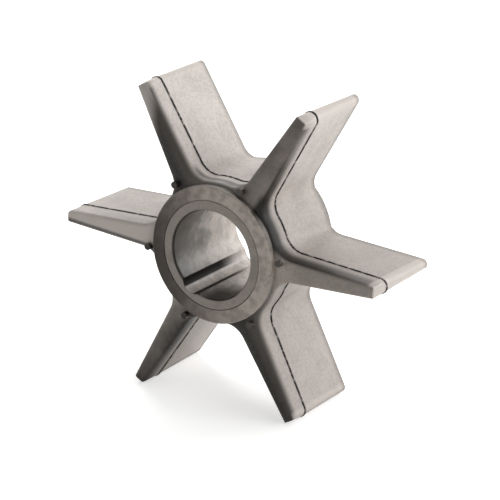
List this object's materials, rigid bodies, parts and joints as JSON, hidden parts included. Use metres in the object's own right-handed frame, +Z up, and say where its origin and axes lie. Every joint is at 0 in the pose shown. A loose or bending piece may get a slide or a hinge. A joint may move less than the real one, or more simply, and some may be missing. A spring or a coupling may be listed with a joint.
{
  "type": "pump impeller",
  "caption": "Flexible rubber pump impeller with straight tapered vanes moulded round a rigid keyed bush, for a shaft-driven water pump.",
  "frame": {"origin": "on the shaft axis at the mould's parting plane, inside the bore", "axes": "+Y along the shaft axis away from the hub's raised ring, +Z up through the gap between the two upper vanes, +X along the vane on the right seen from the ring side"},
  "size_m": [0.0652, 0.0198, 0.057],
  "materials": {
    "vane_rubber": "satin moulded rubber with a fine parting line",
    "bush_composite": "matt mineral-filled moulding with a satin bore"
  },
  "bodies": {
    "root": {"vane_rotor": "vane_rubber", "keyed_bush": "bush_composite"}
  },
  "joints": []
}
